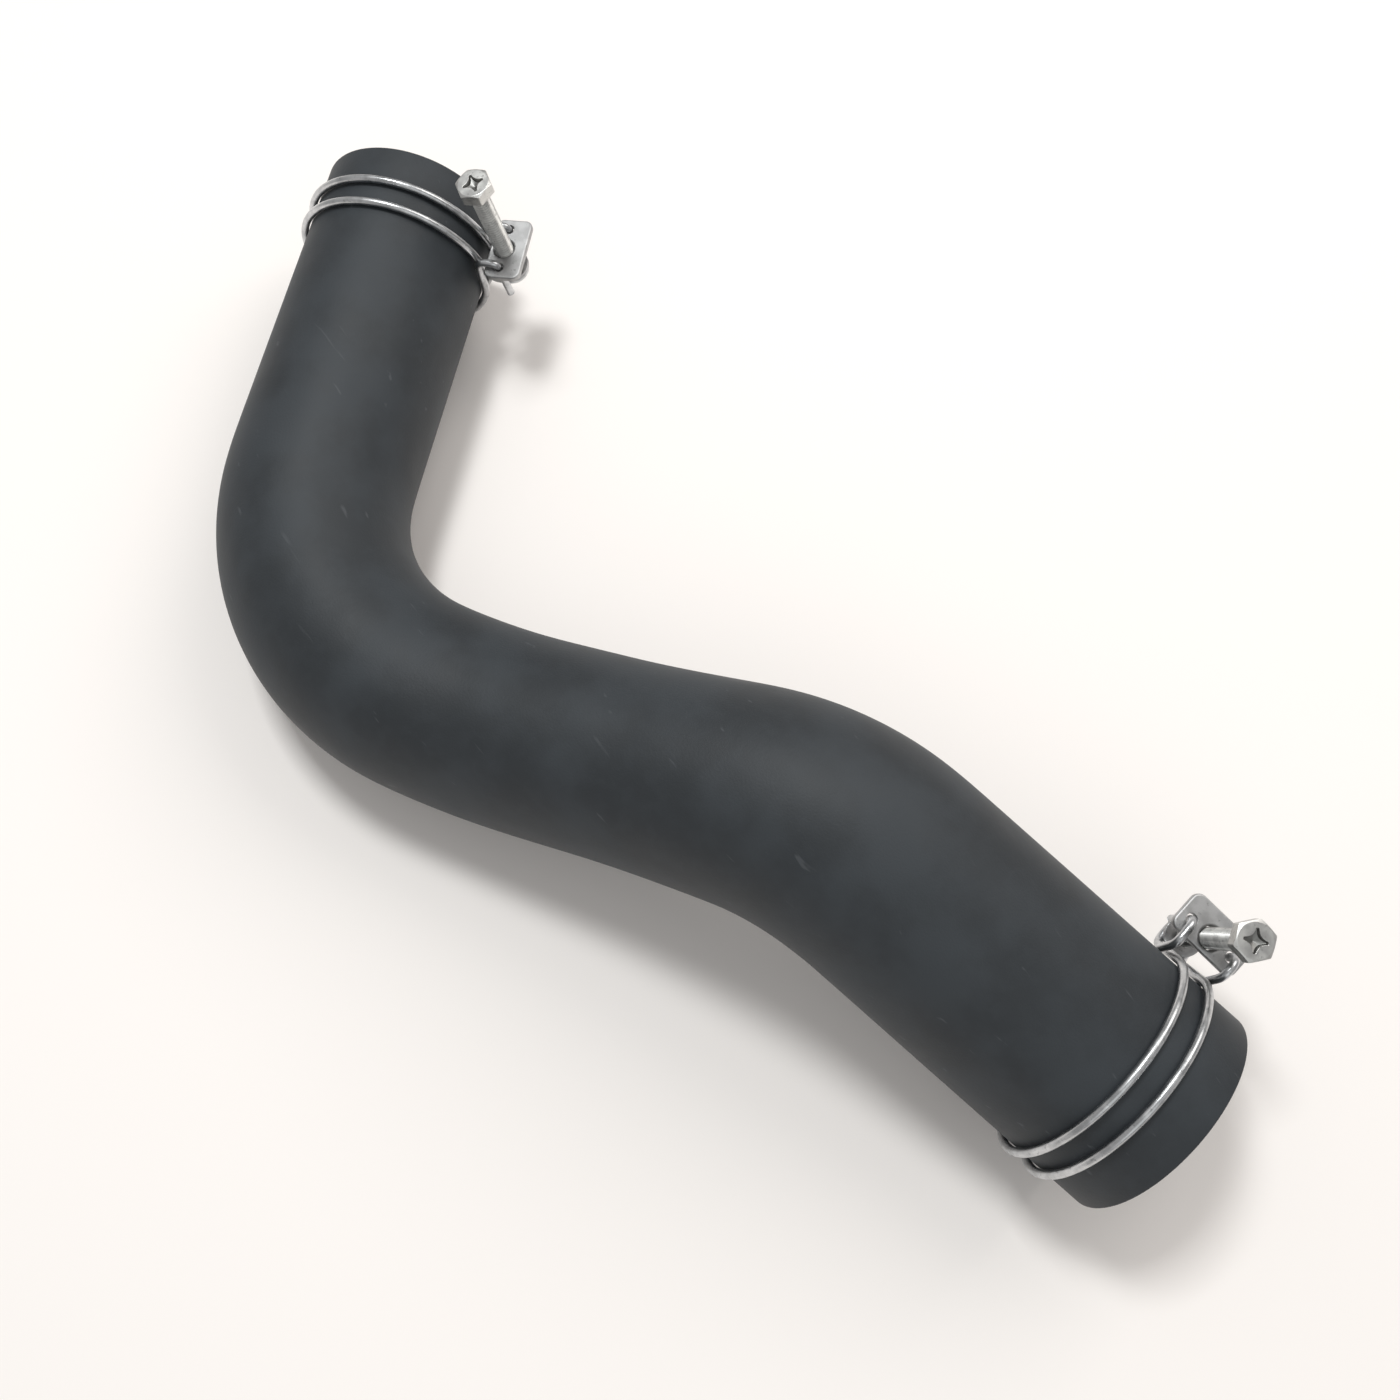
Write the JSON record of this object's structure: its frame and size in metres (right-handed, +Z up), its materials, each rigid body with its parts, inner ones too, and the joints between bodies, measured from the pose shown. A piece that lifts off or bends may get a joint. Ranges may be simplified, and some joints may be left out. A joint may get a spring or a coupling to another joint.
{
  "type": "fuel filler hose",
  "caption": "Moulded S-bend rubber fuel filler hose with wire screw clamps at its ends, joining a tank filler neck to the tank.",
  "frame": {"origin": "middle of the bounding box's bottom face, on the surface that the hose lies on", "axes": "+X from the small end towards the large end, +Z up; the crest of the bend is nearer the large end"},
  "size_m": [0.3916, 0.1736, 0.0867],
  "materials": {
    "hose_rubber": "matte charcoal with a faint fine grain",
    "clamp_wire_steel": "bright zinc-plated, drawn wire",
    "clamp_plate_steel": "zinc-plated, satin",
    "clamp_screw_steel": "bright zinc-plated",
    "clamp_cup_steel": "zinc-plated, satin"
  },
  "bodies": {
    "hose": {"hose_body": "hose_rubber", "small_end_clamp_wire": "clamp_wire_steel", "small_end_clamp_plate": "clamp_plate_steel", "small_end_clamp_thrust_cup": "clamp_cup_steel", "large_end_clamp_wire": "clamp_wire_steel", "large_end_clamp_plate": "clamp_plate_steel", "large_end_clamp_thrust_cup": "clamp_cup_steel"},
    "small_end_screw": {"small_end_clamp_screw": "clamp_screw_steel"},
    "large_end_screw": {"large_end_clamp_screw": "clamp_screw_steel"}
  },
  "joints": [
    {"name": "small_end_screw_turn", "type": "hinge", "parent": "hose", "child": "small_end_screw", "pos_m": [-0.13722, 0.04724, 0.07029], "axis": [0.0786, 0.1481, -0.9858], "continuous": true},
    {"name": "large_end_screw_turn", "type": "hinge", "parent": "hose", "child": "large_end_screw", "pos_m": [0.16498, 0.07636, 0.0663], "axis": [-0.2143, 0.0727, -0.9741], "continuous": true}
  ]
}
